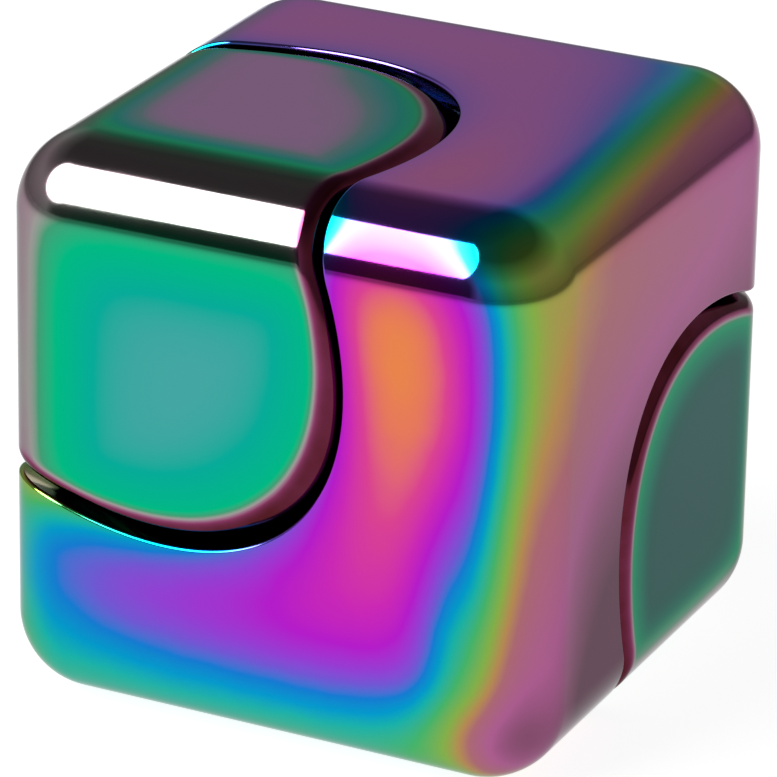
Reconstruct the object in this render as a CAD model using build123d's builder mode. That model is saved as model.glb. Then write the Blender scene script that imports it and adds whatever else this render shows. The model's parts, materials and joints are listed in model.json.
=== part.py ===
"""Corner-held spinner cube: a ring-shaped body turns on a ball bearing between two corner caps.

One cylinder round the cube's body diagonal cuts it in three. What lies outside the cylinder is the
spinner body; the two ends inside it are the corner caps, which finger and thumb hold. A deep-groove
bearing at the cube's centre joins them: its outer ring is pressed into the spinner body, and a
double-ended axle draws both caps together against its inner ring.

Millimetres. +Z is up, and the origin is the middle of the bottom face. The spin axis runs through
the cube's centre to the corner at -X, -Y, +Z.
"""

import os

from build123d import *

# ---- Cube ------------------------------------------------------------------------------------
cube_side = 25.0
edge_radius = 3.5  # rounding of the cube's edges and corners

# ---- Bearing: 8 x 22 x 7 mm, with its balls midway between its bore and its outside ---------------
bearing_bore_radius = 4.0
bearing_radius = 11.0
bearing_width = 7.0
ball_count = 7
ball_radius = 1.984
ball_clearance = 0.02  # from a ball to the bottom of either groove
groove_depth = 0.55
groove_conformity = 0.52  # each groove's radius as a share of the ball's diameter
ring_chamfer = 0.3

# ---- Ball cage: two pressed halves, riveted together between the balls ---------------------------
cage_thickness = 0.35
cage_band_width = 1.5
cage_side_gap = 0.4  # from a pocket's dome to the shield
pocket_clearance = 0.12
rivet_radius = 0.3
rivet_head_radius = 0.55
rivet_head_height = 0.2

# ---- Bearing shields, each held in a groove of the outer ring ------------------------------------
shield_thickness = 0.25
shield_inset = 0.2  # from the ring's face to the shield's rim
shield_seat_depth = 0.35
shield_gap = 0.2  # from the shield to the inner ring
shield_rim_width = 0.7
shield_slope = 0.3  # radial width of the step between the shield's rim and its middle

# ---- Cut between the spinner body and the corner caps, and the bearing's seat ---------------------
bore_clearance = 0.4  # round the bearing as it goes in
bore_rim_radius = 0.15  # broken edge where the bore meets the cube's faces
running_gap = 0.45  # from the bore to the caps
seat_lip_width = 0.6
seat_lip_thickness = 0.5
seat_margin = 0.3  # the seat runs past the bearing by this much at its open end
seat_chamfer = 0.15

# ---- Spacer washers between each cap's boss and the inner ring ------------------------------------
washer_thickness = 0.5
washer_margin = 0.3  # the washer's rim stands back from the inner ring's by this much
washer_clearance = 0.05  # round the axle

# ---- Corner caps ----------------------------------------------------------------------------------
cap_rim_radius = 0.8  # edge where a cap's faces meet its round side
cap_face_wall = 2.2
cap_side_wall = 1.8
cap_floor_gap = 0.3  # from a cap's open rim to the body's lip
cap_boss_margin = 0.35  # the boss stands back from the washer's rim by this much
cap_rib_width = 1.2
cap_rib_count = 3
tapped_runout = 0.9  # room past the stud's end
tapped_chamfer = 0.4

# ---- Axle: a shoulder through the bearing with an M5 stud at each end -----------------------------
thread_radius = 2.5
thread_clearance = 0.05
shoulder_clearance = 0.01
shoulder_relief = 0.1  # keeps the caps off the shoulder, so that they clamp the washers
stud_length = 6.2
stud_chamfer = 0.5
undercut_depth = 0.3
undercut_width = 0.6

# ---- Radii, from the axis outwards ----------------------------------------------------------------
ball_pitch_radius = (bearing_bore_radius + bearing_radius) / 2
inner_groove_bottom = ball_pitch_radius - ball_radius - ball_clearance
outer_groove_bottom = ball_pitch_radius + ball_radius + ball_clearance
inner_land_radius = inner_groove_bottom + groove_depth
outer_land_radius = outer_groove_bottom - groove_depth
groove_radius = 2 * ball_radius * groove_conformity
pocket_radius = ball_radius + pocket_clearance
dome_radius = pocket_radius + cage_thickness
shield_outer_radius = outer_land_radius + shield_seat_depth
washer_radius = inner_land_radius - washer_margin
cap_boss_radius = washer_radius - cap_boss_margin
stud_radius = thread_radius - thread_clearance
bore_radius = bearing_radius + bore_clearance
cap_radius = bore_radius - running_gap

# ---- Heights along the axis, from the cube's centre -----------------------------------------------
half_width = bearing_width / 2
shield_top = half_width - shield_inset
shield_inside = dome_radius + cage_side_gap
boss_height = half_width + washer_thickness
shoulder_height = boss_height - shoulder_relief
stud_end = shoulder_height + stud_length
tapped_end = stud_end + tapped_runout
lip_height = half_width + seat_lip_thickness
floor_height = lip_height + cap_floor_gap
hollow_side = cube_side - 2 * cap_face_wall

# ---- Planes ---------------------------------------------------------------------------------------
# Each plane has its Z along the spin axis. Its X points towards a cube edge that meets the corner.
centre = Vector(0, 0, cube_side / 2)
upper_axis = Plane(origin=centre, x_dir=(-1, -1, -2), z_dir=(-1, -1, 1))
lower_axis = Plane(origin=centre, x_dir=(1, 1, 2), z_dir=(1, 1, -1))
spin_axis = Axis(centre, upper_axis.z_dir)
# The bearing's lower side, seen from below, with the same X as its upper side.
bearing_underside = Plane(origin=centre, x_dir=upper_axis.x_dir, z_dir=lower_axis.z_dir)
tolerance = 1e-3  # two lengths closer than this are the same


def half_section(axis_plane):
    """The plane in which a turned part's outline is drawn: X is the radius, Y the height."""
    return Plane(
        origin=axis_plane.origin,
        x_dir=axis_plane.x_dir,
        z_dir=axis_plane.x_dir.cross(axis_plane.z_dir),
    )


def finish(part, name):
    """Names a finished piece and writes its STEP file."""
    part.label = name
    export_step(part, f"parts/{name}.step")


def circles(part, radius):
    """A part's round edges of one radius."""
    return part.edges().filter_by(GeomType.CIRCLE).filter_by(
        lambda edge: abs(edge.radius - radius) < tolerance
    )


def height_and_radius(point, axis_plane):
    """A point's height along the spin axis and its distance from it."""
    local = axis_plane.to_local_coords(point)
    return local.Z, Vector(local.X, local.Y).length


def rim_edges(part, axis_plane, radius):
    """The edges in which a cylinder round the spin axis meets the cube's outside."""
    found = ShapeList()
    for edge in part.edges():
        places = [height_and_radius(edge @ share, axis_plane) for share in (0, 0.5, 1)]
        on_cylinder = all(abs(from_axis - radius) < tolerance for _, from_axis in places)
        level = max(places)[0] - min(places)[0] < tolerance
        if on_cylinder and not level and min(places)[0] > 0:
            found.append(edge)
    return found


# ---- Blanks ---------------------------------------------------------------------------------------
with BuildPart() as cube_blank:
    with Locations(centre):
        Box(cube_side, cube_side, cube_side)
    fillet(cube_blank.edges(), edge_radius)

with BuildPart() as hollow_blank:
    with Locations(centre):
        Box(hollow_side, hollow_side, hollow_side)
    fillet(hollow_blank.edges(), edge_radius - cap_face_wall)


# ---- Spinner body ---------------------------------------------------------------------------------
with BuildPart() as spinner_body:
    add(cube_blank.part)
    # Through the lip that the bearing rests against
    with BuildSketch(upper_axis):
        Circle(bearing_radius - seat_lip_width)
    extrude(amount=cube_side, both=True, mode=Mode.SUBTRACT)
    # Bearing seat
    with BuildSketch(upper_axis.offset(-half_width)):
        Circle(bearing_radius)
    extrude(amount=half_width + cube_side, mode=Mode.SUBTRACT)
    # Bore round each corner cap
    with BuildSketch(upper_axis.offset(half_width + seat_margin)):
        Circle(bore_radius)
    extrude(amount=cube_side, mode=Mode.SUBTRACT)
    with BuildSketch(lower_axis.offset(lip_height)):
        Circle(bore_radius)
    extrude(amount=cube_side, mode=Mode.SUBTRACT)
    for corner_axis in (upper_axis, lower_axis):
        fillet(rim_edges(spinner_body, corner_axis, bore_radius), bore_rim_radius)
    chamfer(circles(spinner_body, bearing_radius).sort_by(spin_axis)[-1], seat_chamfer)


# ---- Corner caps ----------------------------------------------------------------------------------
def cap_hollow(axis_plane):
    """The space inside a corner cap, round its boss and between its ribs."""
    with BuildPart() as hollow:
        add(hollow_blank.part)
        with BuildSketch(axis_plane.offset(floor_height)):
            Circle(cap_radius - cap_side_wall)
            Circle(cap_boss_radius, mode=Mode.SUBTRACT)
            with PolarLocations(0, cap_rib_count, start_angle=180 / cap_rib_count):
                Rectangle(cap_radius, cap_rib_width, align=(Align.MIN, Align.CENTER), mode=Mode.SUBTRACT)
        extrude(amount=cube_side, mode=Mode.INTERSECT)
    return hollow.part


def corner_cap(axis_plane):
    """One corner of the cube with its round side, hollow from below, and its tapped boss."""
    hollow = cap_hollow(axis_plane)
    with BuildPart() as cap:
        add(cube_blank.part)
        with BuildSketch(axis_plane.offset(floor_height)):
            Circle(cap_radius)
        extrude(amount=cube_side, mode=Mode.INTERSECT)
        fillet(rim_edges(cap, axis_plane, cap_radius), cap_rim_radius)
        add(hollow, mode=Mode.SUBTRACT)
        with BuildSketch(axis_plane.offset(boss_height)):
            Circle(cap_boss_radius)
        extrude(amount=floor_height - boss_height)
        with BuildSketch(axis_plane.offset(boss_height)):
            Circle(thread_radius)
        extrude(amount=tapped_end - boss_height, mode=Mode.SUBTRACT)
        tapped_rims = circles(cap, thread_radius)
        chamfer(tapped_rims.sort_by(Axis(centre, axis_plane.z_dir))[0], tapped_chamfer)
    return cap.part


upper_corner_cap = corner_cap(upper_axis)
lower_corner_cap = corner_cap(lower_axis)


# ---- Bearing rings --------------------------------------------------------------------------------
with BuildPart() as bearing_outer_ring:
    with BuildSketch(half_section(upper_axis)) as outer_section:
        with Locations(((outer_land_radius + bearing_radius) / 2, 0)):
            Rectangle(bearing_radius - outer_land_radius, bearing_width)
        chamfer(outer_section.vertices().group_by(Axis(centre, upper_axis.x_dir))[-1], ring_chamfer)
        with Locations((outer_groove_bottom - groove_radius, 0)):
            Circle(groove_radius, mode=Mode.SUBTRACT)
        for side in (1, -1):
            with Locations((outer_land_radius, side * (shield_top - shield_thickness / 2))):
                Rectangle(2 * shield_seat_depth, shield_thickness, mode=Mode.SUBTRACT)
    revolve(axis=spin_axis)

with BuildPart() as bearing_inner_ring:
    with BuildSketch(half_section(upper_axis)) as inner_section:
        with Locations(((bearing_bore_radius + inner_land_radius) / 2, 0)):
            Rectangle(inner_land_radius - bearing_bore_radius, bearing_width)
        chamfer(inner_section.vertices().group_by(Axis(centre, upper_axis.x_dir))[0], ring_chamfer)
        with Locations((inner_groove_bottom + groove_radius, 0)):
            Circle(groove_radius, mode=Mode.SUBTRACT)
    revolve(axis=spin_axis)


# ---- Balls ----------------------------------------------------------------------------------------
def bearing_ball(number):
    """One ball in its place in the ring of balls."""
    turn = 360 / ball_count * number
    with BuildPart() as ball:
        with Locations(upper_axis.from_local_coords(Vector(ball_pitch_radius, 0, 0).rotate(Axis.Z, turn))):
            Sphere(ball_radius)
    return ball.part


# ---- Ball cage ------------------------------------------------------------------------------------
def cage_half(side_plane):
    """One pressed half of the cage: a flat band with a domed pocket over each ball."""
    with BuildPart() as half:
        with BuildSketch(side_plane) as band:
            Circle(ball_pitch_radius + cage_band_width / 2)
            Circle(ball_pitch_radius - cage_band_width / 2, mode=Mode.SUBTRACT)
        extrude(amount=cage_thickness)
        with Locations(side_plane):
            with PolarLocations(ball_pitch_radius, ball_count):
                Sphere(dome_radius)
        extrude(band.sketch, amount=half_width, mode=Mode.INTERSECT)
        with Locations(side_plane):
            with PolarLocations(ball_pitch_radius, ball_count):
                Sphere(pocket_radius, mode=Mode.SUBTRACT)
        with BuildSketch(side_plane):
            with PolarLocations(ball_pitch_radius, ball_count, start_angle=180 / ball_count):
                Circle(rivet_radius)
        extrude(amount=cage_thickness, mode=Mode.SUBTRACT)
    return half.part


with BuildPart() as cage_rivets:
    with BuildSketch(upper_axis):
        with PolarLocations(ball_pitch_radius, ball_count, start_angle=180 / ball_count):
            Circle(rivet_radius)
    extrude(amount=cage_thickness, both=True)
    for side in (upper_axis, bearing_underside):
        with BuildSketch(side.offset(cage_thickness)):
            with PolarLocations(ball_pitch_radius, ball_count, start_angle=180 / ball_count):
                Circle(rivet_head_radius)
        extrude(amount=rivet_head_height)


# ---- Bearing shields ------------------------------------------------------------------------------
def bearing_shield(side_plane):
    """A dished ring that closes the gap between the bearing's rings on one side."""
    inner_radius = inner_land_radius + shield_gap
    step_outside = shield_outer_radius - shield_rim_width
    step_inside = step_outside - shield_slope
    with BuildPart() as shield:
        with BuildSketch(half_section(side_plane)):
            with BuildLine():
                Polyline(
                    (shield_outer_radius, shield_top),
                    (step_outside, shield_top),
                    (step_inside, shield_inside + shield_thickness),
                    (inner_radius, shield_inside + shield_thickness),
                    (inner_radius, shield_inside),
                    (step_inside, shield_inside),
                    (step_outside, shield_top - shield_thickness),
                    (shield_outer_radius, shield_top - shield_thickness),
                    close=True,
                )
            make_face()
        revolve(axis=spin_axis)
    return shield.part


# ---- Spacer washers -------------------------------------------------------------------------------
def spacer_washer(side_plane):
    """A washer that stands a cap's boss off the shield."""
    with BuildPart() as washer:
        with BuildSketch(side_plane.offset(half_width)):
            Circle(washer_radius)
            Circle(bearing_bore_radius + washer_clearance, mode=Mode.SUBTRACT)
        extrude(amount=washer_thickness)
    return washer.part


# ---- Axle -----------------------------------------------------------------------------------------
with BuildPart() as axle:
    with BuildSketch(upper_axis):
        Circle(bearing_bore_radius - shoulder_clearance)
    extrude(amount=shoulder_height, both=True)
    with BuildSketch(upper_axis):
        Circle(stud_radius)
    extrude(amount=stud_end, both=True)
    for side in (upper_axis, lower_axis):
        with BuildSketch(side.offset(shoulder_height)):
            Circle(stud_radius)
            Circle(stud_radius - undercut_depth, mode=Mode.SUBTRACT)
        extrude(amount=undercut_width, mode=Mode.SUBTRACT)
    stud_ends = axle.edges().filter_by(GeomType.CIRCLE).group_by(spin_axis)
    chamfer([*stud_ends[0], *stud_ends[-1]], stud_chamfer)


# ---- Write the pieces -----------------------------------------------------------------------------
os.makedirs("parts", exist_ok=True)
finish(spinner_body.part, "spinner_body")
finish(upper_corner_cap, "upper_corner_cap")
finish(lower_corner_cap, "lower_corner_cap")
finish(axle.part, "axle")
finish(bearing_outer_ring.part, "bearing_outer_ring")
finish(bearing_inner_ring.part, "bearing_inner_ring")
finish(cage_rivets.part, "cage_rivets")
for ball_number in range(ball_count):
    finish(bearing_ball(ball_number), f"bearing_ball_{ball_number + 1}")
for side_name, side in {"upper": upper_axis, "lower": bearing_underside}.items():
    finish(cage_half(side), f"{side_name}_cage_half")
    finish(bearing_shield(side), f"{side_name}_bearing_shield")
    finish(spacer_washer(side), f"{side_name}_spacer_washer")
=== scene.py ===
"""Looks of the corner-held spinner cube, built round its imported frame.

The cube's three outer pieces get new skins with the rainbow film that the finisher's vacuum chamber
lays down; the axle, its threads, the cage's rivets and the caps' ribs are rebuilt with their fine
detail; the bearing's other parts keep their CAD meshes and get steel finishes. Metres throughout,
but for the film, which is laid out in millimetres. Everything is in the frame's own axes, and
every piece's place is in its mesh.
"""

import json
import logging
import math
from collections.abc import Sequence
from dataclasses import dataclass, field
from enum import Enum

import bpy
import numpy as np
from mathutils import Matrix, Vector


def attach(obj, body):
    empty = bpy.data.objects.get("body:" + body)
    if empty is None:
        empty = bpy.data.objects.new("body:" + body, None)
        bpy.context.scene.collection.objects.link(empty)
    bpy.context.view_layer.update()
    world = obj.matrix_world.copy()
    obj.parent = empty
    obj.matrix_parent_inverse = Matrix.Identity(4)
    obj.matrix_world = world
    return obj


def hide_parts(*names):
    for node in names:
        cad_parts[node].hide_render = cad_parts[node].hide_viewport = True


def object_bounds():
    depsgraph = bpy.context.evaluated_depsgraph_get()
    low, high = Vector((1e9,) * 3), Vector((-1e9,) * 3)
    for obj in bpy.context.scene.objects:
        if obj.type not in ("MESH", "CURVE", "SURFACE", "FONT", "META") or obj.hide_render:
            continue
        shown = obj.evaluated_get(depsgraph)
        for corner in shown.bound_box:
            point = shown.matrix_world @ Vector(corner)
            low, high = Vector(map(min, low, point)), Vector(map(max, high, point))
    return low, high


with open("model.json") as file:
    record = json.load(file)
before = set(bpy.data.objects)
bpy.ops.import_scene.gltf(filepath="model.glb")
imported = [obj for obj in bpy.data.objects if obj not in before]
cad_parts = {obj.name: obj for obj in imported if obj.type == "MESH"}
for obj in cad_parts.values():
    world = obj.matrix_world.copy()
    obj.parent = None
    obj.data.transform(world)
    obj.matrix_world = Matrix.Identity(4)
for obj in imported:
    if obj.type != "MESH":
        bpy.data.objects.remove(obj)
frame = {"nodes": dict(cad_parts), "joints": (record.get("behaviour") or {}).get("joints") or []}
cad_low, cad_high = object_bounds()

log = logging.getLogger("spinner_cube")

MM = 0.001
SIDE = cad_high.z - cad_low.z
EDGE_SHARE = 0.14  # The rounded edges' radius, as a share of the side
HALVINGS = 48  # Steps in the search for where a line leaves the cube
CLOSE = 0.01 * MM  # CAD points this near to a radius or a height lie on it
THICKNESS = "film_thickness"
FADE_AND_PAINTED_SHADE = "film_fade_and_painted_shade"

Colour = tuple[float, float, float]
Stops = tuple[tuple[float, Colour], ...]


def linear(channel: int) -> float:
    """One 0 to 255 channel of a colour chart as scene-linear light."""
    share = channel / 255
    return share / 12.92 if share <= 0.04045 else ((share + 0.055) / 1.055) ** 2.4


def charted(*colours: tuple[float, int, int, int]) -> Stops:
    """Colour stops from a place and three chart channels each."""
    return tuple((place, (linear(r), linear(g), linear(b))) for place, r, g, b in colours)


def rise(value: np.ndarray, start: float, end: float) -> np.ndarray:
    """0 before start, 1 after end, and a smooth step between them."""
    share = np.clip((value - start) / (end - start), 0, 1)
    return share * share * (3 - 2 * share)


def unit(vectors: np.ndarray) -> np.ndarray:
    """Vectors at a length of 1."""
    return vectors / np.linalg.norm(vectors, axis=-1, keepdims=True)


def vertices(mesh: bpy.types.Mesh) -> np.ndarray:
    """Reads a mesh's vertices.

    Args:
        mesh: The mesh.

    Returns:
        One row per vertex.
    """
    flat = np.zeros(len(mesh.vertices) * 3, np.float32)
    mesh.vertices.foreach_get("co", flat)
    return flat.reshape(-1, 3).astype(float)


# ---- The frame's own sizes ---------------------------------------------------------------------
class SpinAxis:
    """The spin axis with the two directions across it, and what nodes measure round it."""

    def __init__(self) -> None:
        """Reads the axis from the frame's spin joint."""
        joint = next(j for j in frame["joints"] if j["name"] == "body_spin")
        self.centre = np.array(joint["pos_m"], float)
        self.up = np.array(joint["axis"], float) / np.linalg.norm(joint["axis"])
        # Across the axis, towards a cube edge that meets the upper cap's corner
        downward = np.array([0.0, 0.0, -1.0])
        across = downward - (downward @ self.up) * self.up
        self.across = across / np.linalg.norm(across)
        self.side = np.cross(self.up, self.across)

    def spokes(self, turns: np.ndarray) -> np.ndarray:
        """Unit vectors out from the axis at angles round it."""
        return np.cos(turns)[:, None] * self.across + np.sin(turns)[:, None] * self.side

    def heights(self, points: np.ndarray) -> np.ndarray:
        """How far points lie along the axis from the centre."""
        return (points - self.centre) @ self.up

    def radii(self, points: np.ndarray) -> np.ndarray:
        """How far points lie from the axis."""
        offset = points - self.centre
        return np.linalg.norm(offset - self.heights(points)[..., None] * self.up, axis=-1)

    def matrix(self, end: float) -> Matrix:
        """Places a piece drawn round its own Z.

        Args:
            end: 1 to face the upper cap, -1 to face the lower one.

        Returns:
            The turn and move onto the spin axis.
        """
        columns = np.array([self.across * end, self.side, self.up * end]).T
        placed = Matrix(columns.tolist()).to_4x4()
        placed.translation = Vector(self.centre.tolist())
        return placed

    def node_points(self, node: str) -> np.ndarray:
        """A CAD node's vertices."""
        return vertices(frame["nodes"][node].data)

    def reach(self, node: str) -> float:
        """A node's largest radius round the axis."""
        return float(self.radii(self.node_points(node)).max())

    def throat(self, node: str) -> float:
        """A node's smallest radius round the axis."""
        return float(self.radii(self.node_points(node)).min())

    def span(self, node: str, inside: float = 0.0, outside: float = 1.0) -> tuple[float, float]:
        """The lowest and highest place of a node along the axis.

        Args:
            node: The CAD node's name.
            inside: Only points at least this far from the axis count.
            outside: Only points at most this far from the axis count.

        Returns:
            The lowest and the highest height.
        """
        points = self.node_points(node)
        radii = self.radii(points)
        heights = self.heights(points)[(radii >= inside) & (radii <= outside)]
        return float(heights.min()), float(heights.max())


spin = SpinAxis()


@dataclass(frozen=True)
class RoundedCube:
    """A cube with rounded edges and corners, and where lines meet its surface."""

    half: float
    radius: float

    def inset(self, depth: float) -> "RoundedCube":
        """The cube that lies a given depth under this one's surface."""
        return RoundedCube(self.half - depth, self.radius - depth)

    def distance(self, points: np.ndarray) -> np.ndarray:
        """Signed distance from the surface.

        Args:
            points: One row per point.

        Returns:
            One distance per point, less than zero inside.
        """
        reach = np.abs(points - spin.centre) - (self.half - self.radius)
        corner = np.linalg.norm(np.maximum(reach, 0), axis=-1)
        return corner + np.minimum(reach.max(axis=-1), 0) - self.radius

    def normals(self, points: np.ndarray) -> np.ndarray:
        """Outward directions on the surface.

        Args:
            points: Points on the surface.

        Returns:
            One unit vector per point.
        """
        offset = points - spin.centre
        core = self.half - self.radius
        return unit(offset - np.clip(offset, -core, core))

    def meet(self, origins: np.ndarray, directions: np.ndarray) -> np.ndarray:
        """Where lines that start inside leave the cube.

        Args:
            origins: Where each line starts.
            directions: The unit vector that each line follows.

        Returns:
            One point on the surface per line.
        """
        near = np.zeros(len(directions))
        far = np.full(len(directions), 2 * self.half)
        for _ in range(HALVINGS):
            middle = (near + far) / 2
            inside = self.distance(origins + middle[:, None] * directions) < 0
            near = np.where(inside, middle, near)
            far = np.where(inside, far, middle)
        return origins + near[:, None] * directions

    def along_rays(self, rays: np.ndarray) -> np.ndarray:
        """Where rays from the cube's centre leave it."""
        return self.meet(np.broadcast_to(spin.centre, rays.shape), rays)

    def along_axis(self, starts: np.ndarray, end: float) -> np.ndarray:
        """Where lines that follow the axis towards one end leave the cube."""
        return self.meet(starts, np.broadcast_to(end * spin.up, starts.shape))


cube = RoundedCube(half=SIDE / 2, radius=EDGE_SHARE * SIDE)


# ---- Skins drawn as rings round the axis -------------------------------------------------------
def turned(start: np.ndarray, end: np.ndarray, share: float) -> np.ndarray:
    """Unit vectors part of the way round from start to end.

    Args:
        start: Unit vectors to turn from.
        end: Unit vectors to turn to.
        share: 0 gives start and 1 gives end.

    Returns:
        The turned unit vectors.
    """
    angle = np.arccos(np.clip((start * end).sum(axis=-1, keepdims=True), -1, 1))
    angle = np.maximum(angle, 1e-6)
    return (np.sin((1 - share) * angle) * start + np.sin(share * angle) * end) / np.sin(angle)


def rounded_edge(
    centres: np.ndarray, start: np.ndarray, end: np.ndarray, radius: float, rows: int
) -> list[tuple[np.ndarray, np.ndarray]]:
    """Rings that round an edge over.

    Args:
        centres: The rounding's centre at each column.
        start: Outward unit vectors where it begins.
        end: Outward unit vectors where it ends.
        radius: The rounding's radius.
        rows: How many rows of faces it has.

    Returns:
        Points and normals of each ring.
    """
    facing = [turned(start, end, row / rows) for row in range(rows + 1)]
    return [(centres + radius * normals, normals) for normals in facing]


class RingedSkin:
    """A closed skin drawn as rings of points round the spin axis."""

    columns = 480

    def __init__(self) -> None:
        """Starts with no rings."""
        self.spokes = spin.spokes(np.arange(self.columns) * (2 * math.pi / self.columns))
        self.rings: list[tuple[np.ndarray, np.ndarray, np.ndarray]] = []

    def ring(self, points: np.ndarray, before: np.ndarray, after: np.ndarray | None = None) -> None:
        """Adds a ring.

        Args:
            points: One point per column, or a single point for a pole.
            before: Outward unit vectors on the side of the ring drawn just before.
            after: Outward unit vectors on the other side, where the ring is a sharp edge.
        """
        before = np.broadcast_to(before, (self.columns, 3))
        after = before if after is None else np.broadcast_to(after, (self.columns, 3))
        self.rings.append((np.atleast_2d(points), before, after))

    def level_ring(
        self, radius: float, height: float, before: np.ndarray, after: np.ndarray | None = None
    ) -> None:
        """Adds a round, level ring at a height along the axis."""
        self.ring(spin.centre + height * spin.up + radius * self.spokes, before, after)

    def sweep(self, first: np.ndarray, last: np.ndarray, rows: int) -> None:
        """Draws the cube's faces between two rings that are drawn apart from this.

        Args:
            first: Directions of the ring before, from the cube's centre.
            last: Directions of the ring after.
            rows: How many rows of faces lie between them.
        """
        for row in range(1, rows):
            points = cube.along_rays(turned(first, last, row / rows))
            self.ring(points, cube.normals(points))

    def strip(self, first: int, second: int, starts: list[int]) -> tuple[np.ndarray, np.ndarray]:
        """The faces between two rings.

        Args:
            first: The ring drawn earlier.
            second: The ring drawn next.
            starts: Where each ring's vertices start.

        Returns:
            Vertex numbers and normals of each face's corners.
        """
        here = np.arange(self.columns)
        there = np.roll(here, -1)
        corners, normals = [], []
        for number, order, side in ((first, (here, there), 2), (second, (there, here), 1)):
            pole = len(self.rings[number][0]) == 1
            for column in order[:1] if pole else order:
                corners.append(starts[number] + (np.zeros_like(column) if pole else column))
                normals.append(self.rings[number][side][column])
        return np.stack(corners, axis=1), np.stack(normals, axis=1)

    def mesh(self, name: str, looped: bool) -> bpy.types.Mesh:
        """Joins the rings into one closed mesh.

        Args:
            name: The mesh's name.
            looped: Whether the last ring joins the first again, as round a tube.

        Returns:
            The mesh, with its outward normals set.
        """
        sizes = [len(ring[0]) for ring in self.rings]
        starts = np.concatenate([[0], np.cumsum(sizes)[:-1]]).tolist()
        pairs = [(k, k + 1) for k in range(len(self.rings) - 1)]
        if looped:
            pairs.append((len(self.rings) - 1, 0))
        points = np.concatenate([ring[0] for ring in self.rings])
        strips = [self.strip(first, second, starts) for first, second in pairs]
        # One strip of four-cornered faces tells which way round the faces look
        probe = next(strip for strip in strips if strip[0].shape[1] == 4)
        a, b, c = (points[probe[0][:, k]] for k in range(3))
        step = 1 if (np.cross(b - a, c - a) * probe[1][:, 0]).sum() > 0 else -1
        faces = [corners for strip in strips for corners in strip[0][:, ::step].tolist()]
        normals = np.concatenate([strip[1][:, ::step].reshape(-1, 3) for strip in strips])
        made = bpy.data.meshes.new(name)
        made.from_pydata(points.tolist(), [], faces)
        made.polygons.foreach_set("use_smooth", np.ones(len(faces), bool))
        made.normals_split_custom_set(normals.tolist())
        made.update()
        return made


# ---- Film --------------------------------------------------------------------------------------
class Face(Enum):
    """The cube's faces: the axis that each stands across, and its side of the cube."""

    FRONT = (1, -1)
    BACK = (1, 1)
    RIGHT = (0, 1)
    LEFT = (0, -1)
    TOP = (2, 1)
    BOTTOM = (2, -1)

    @property
    def axis(self) -> int:
        """0, 1 or 2, for X, Y or Z."""
        return self.value[0]

    @property
    def side(self) -> int:
        """1 or -1, as the face looks along its axis or against it."""
        return self.value[1]


@dataclass(frozen=True)
class Band:
    """Extra film beside an edge.

    The edge itself adds strength, and about a third of it is left at reach. A power of 1 falls off
    evenly; more keeps the film level beside the edge and then drops it.
    """

    strength: float
    reach: float
    power: float = 1.0

    def at(self, distance: np.ndarray, wider: float | np.ndarray = 0.0) -> np.ndarray:
        """The film added at a distance from the edge, where the band may be wider."""
        share = np.maximum(distance, 0) / (self.reach + wider)
        return self.strength * np.exp(-(share**self.power))


@dataclass(frozen=True)
class Step:
    """A soft step beside an edge, from 1 to 0 at reach."""

    reach: float
    softness: float

    def at(self, distance: np.ndarray) -> np.ndarray:
        """1 closer than reach and 0 beyond it."""
        return 1 / (1 + np.exp((distance - self.reach) / self.softness))


class FilmLayer:
    """The film's thickness over a shell, from 0 to 1, and its fade, which is partly painted shade.

    Each face has its own rule, in millimetres from the cube's centre. Round the edges one rule
    passes into the next with the surface's direction.
    """

    faded_and_painted_shade: dict[Face, float]
    fade_and_painted_shade_below: tuple[float, float]
    rim_depth = 1.5
    thinning = 0.2

    def rule(self, face: Face, place: np.ndarray, seam: np.ndarray) -> np.ndarray:
        """The film's thickness on one face.

        Args:
            face: Which face.
            place: Points in millimetres from the cube's centre.
            seam: Each point's millimetres from the cut between the body and the caps.

        Returns:
            The thickness, from 0 to 1.
        """
        raise NotImplementedError

    def seam_radius(self) -> float:
        """The radius of the cut that the film thickens beside."""
        raise NotImplementedError

    def lay(self, mesh: bpy.types.Mesh) -> None:
        """Stores the film on a mesh.

        Args:
            mesh: The mesh, whose points get the film's thickness and its fade with painted shade.
        """
        drawn = vertices(mesh)
        points = cube.along_rays(unit(drawn - spin.centre))
        normals = cube.normals(points)
        # Down the cut's sides the film thins again with depth
        depth = np.maximum(-cube.distance(drawn) / MM - self.rim_depth, 0)
        seam = np.abs(spin.radii(drawn) - self.seam_radius()) / MM + self.thinning * depth
        place = (points - spin.centre) / MM
        thickness, fade_and_painted_shade = np.zeros(len(points)), np.zeros(len(points))
        for face in Face:
            weight = np.maximum(normals[:, face.axis] * face.side, 0) ** 2
            thickness += weight * self.rule(face, place, seam)
            # On the caps' sides the fade is partly painted shade that darkens their middles
            fade_and_painted_shade += weight * self.faded_and_painted_shade.get(face, 0.0)
        fade_and_painted_shade *= 1 - rise(thickness, *self.fade_and_painted_shade_below)
        for name, values in ((THICKNESS, thickness), (FADE_AND_PAINTED_SHADE, fade_and_painted_shade)):
            stored = mesh.attributes.new(name, "FLOAT", "POINT")
            stored.data.foreach_set("value", np.clip(values, 0, 1).astype(np.float32))


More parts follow.
